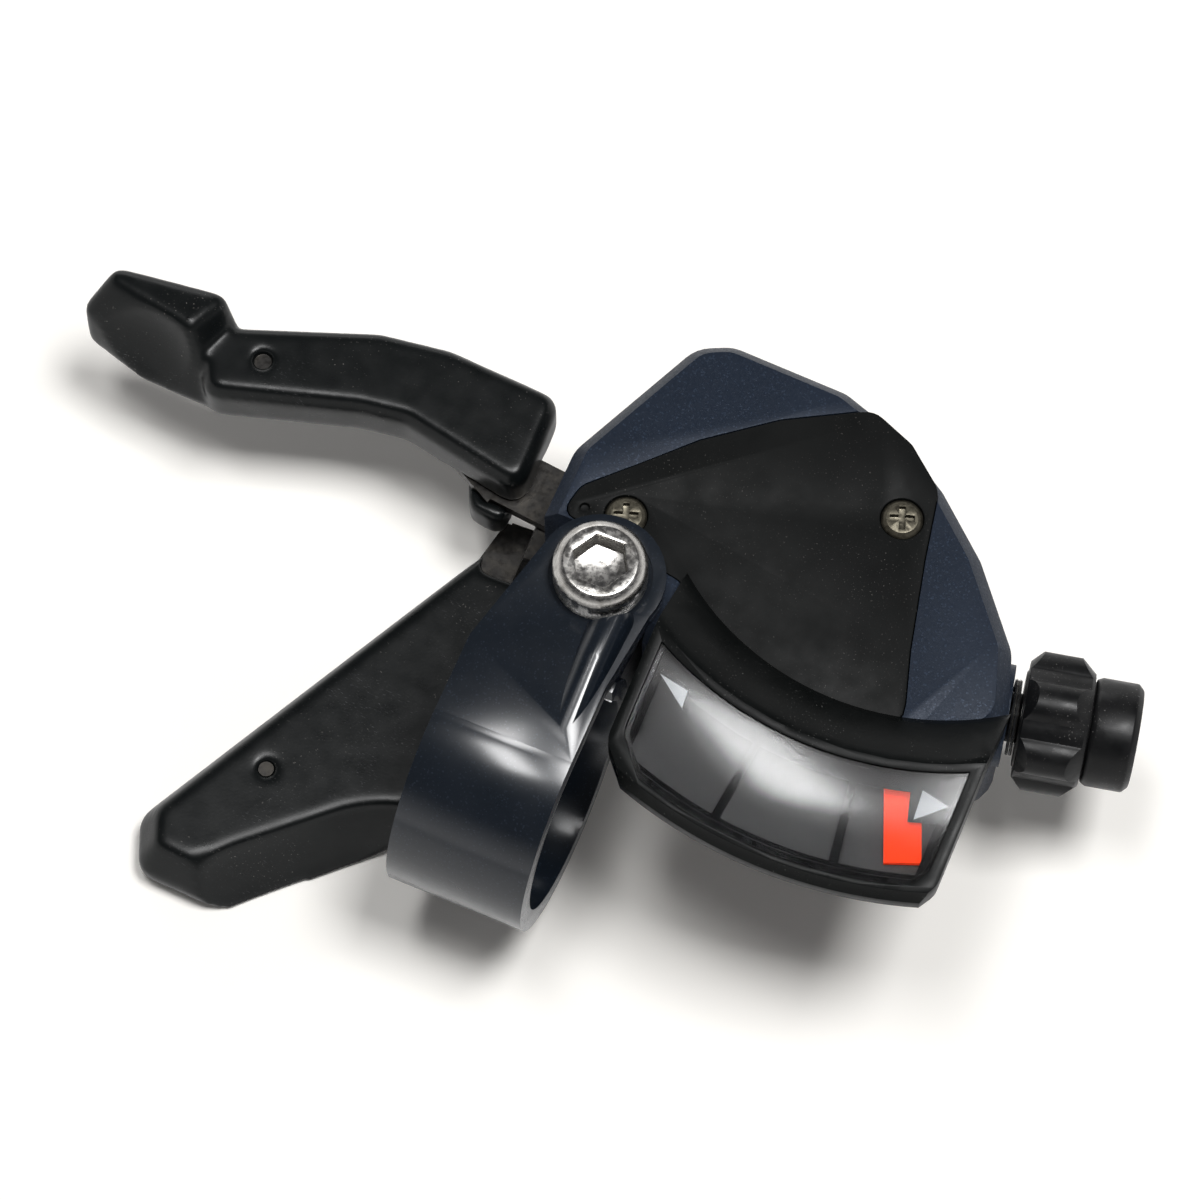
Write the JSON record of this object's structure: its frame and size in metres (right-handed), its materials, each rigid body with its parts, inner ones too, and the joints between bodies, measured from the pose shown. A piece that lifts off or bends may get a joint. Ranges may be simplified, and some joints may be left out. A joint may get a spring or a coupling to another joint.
{
  "type": "bicycle trigger shifter",
  "caption": "Bar-clamped trigger shifter with a thumb lever, a finger release lever, a curved gear window and a cable adjuster.",
  "frame": {"origin": "middle of the bar clamp's bore, on the handlebar's axis", "axes": "+X along the handlebar towards the cable adjuster, +Y towards the mechanism, +Z out of the cover, parallel to the lever axle"},
  "size_m": [0.119, 0.0674, 0.0381],
  "materials": {
    "cast_base": "satin black paint",
    "plated_steel": "bright zinc plate",
    "band_paint": "gloss dark blue-grey paint",
    "bolt_steel": "stainless, turned",
    "case_paint": "metallic dark blue",
    "cover_black": "fine matt grain",
    "dark_steel": "dull, lightly rusted",
    "bezel_black": "satin black",
    "clear_lens": "clear, printed dark frames",
    "flag_red": "bright red-orange",
    "spring_steel": "bright wire",
    "spool_plastic": "moulded grey plastic",
    "black_steel": "black coated steel",
    "lever_black": "moulded black plastic, fine grain",
    "adjuster_black": "moulded black plastic"
  },
  "bodies": {
    "root": {"base_bracket": "cast_base", "base_screws": "plated_steel", "clamp_band": "band_paint", "clamp_bolt": "bolt_steel", "housing": "case_paint", "cover_plate": "cover_black", "cover_screws": "dark_steel", "window_bezel": "bezel_black", "window_lens": "clear_lens", "main_axle": "plated_steel", "axle_washer": "plated_steel", "axle_nut": "plated_steel", "spring_cap": "cover_black", "thumb_spring": "spring_steel", "hold_pawl_pin": "plated_steel", "hold_pawl_spring": "spring_steel", "adjuster_spring": "spring_steel"},
    "spool": {"cable_spool": "spool_plastic"},
    "indicator": {"indicator_arm": "flag_red"},
    "thumb_lever": {"thumb_lever_plate": "black_steel", "thumb_paddle": "lever_black", "thumb_rivet": "dark_steel", "pull_pawl_pin": "plated_steel", "pull_pawl_spring": "spring_steel"},
    "pull_pawl": {"pull_pawl": "plated_steel"},
    "release_lever": {"release_lever_plate": "black_steel", "release_paddle": "lever_black", "release_rivet": "dark_steel"},
    "hold_pawl": {"hold_pawl": "plated_steel"},
    "adjuster": {"adjuster_barrel": "adjuster_black", "adjuster_grip": "adjuster_black"}
  },
  "joints": [
    {"name": "spool_turn", "type": "hinge", "parent": "root", "child": "spool", "pos_m": [0.0163, 0.0294, 0], "axis": [0, 0, 1], "range_deg": [0, 51.43]},
    {"name": "indicator_turn", "type": "hinge", "parent": "root", "child": "indicator", "pos_m": [0.0269, 0.037, 0], "axis": [0, 0, 1], "range_deg": [-42, 0]},
    {"name": "thumb_lever_turn", "type": "hinge", "parent": "root", "child": "thumb_lever", "pos_m": [0.0163, 0.0294, 0], "axis": [0, 0, 1], "range_deg": [-30, 0], "stiffness_Nm_per_rad": 0.1, "springref_deg": 17.19},
    {"name": "pull_pawl_swing", "type": "hinge", "parent": "thumb_lever", "child": "pull_pawl", "pos_m": [0.02925, 0.03053, 0], "axis": [0, 0, 1], "range_deg": [0, 10], "stiffness_Nm_per_rad": 0.005, "springref_deg": -11.46},
    {"name": "release_lever_turn", "type": "hinge", "parent": "root", "child": "release_lever", "pos_m": [0.0163, 0.0294, 0], "axis": [0, 0, 1], "range_deg": [0, 12], "stiffness_Nm_per_rad": 0.1, "springref_deg": -17.19},
    {"name": "hold_pawl_swing", "type": "hinge", "parent": "root", "child": "hold_pawl", "pos_m": [0.01228, 0.04176, 0], "axis": [0, 0, 1], "range_deg": [0, 10]},
    {"name": "adjuster_turn", "type": "hinge", "parent": "root", "child": "adjuster", "pos_m": [0.04225, 0.0254, 0], "axis": [0.9781, 0.2079, 0], "continuous": true}
  ],
  "couplings": [
    {"joint": "indicator_turn", "follows": "spool_turn", "ratio": -0.8},
    {"joint": "hold_pawl_swing", "follows": "release_lever_turn", "ratio": 0.8}
  ]
}
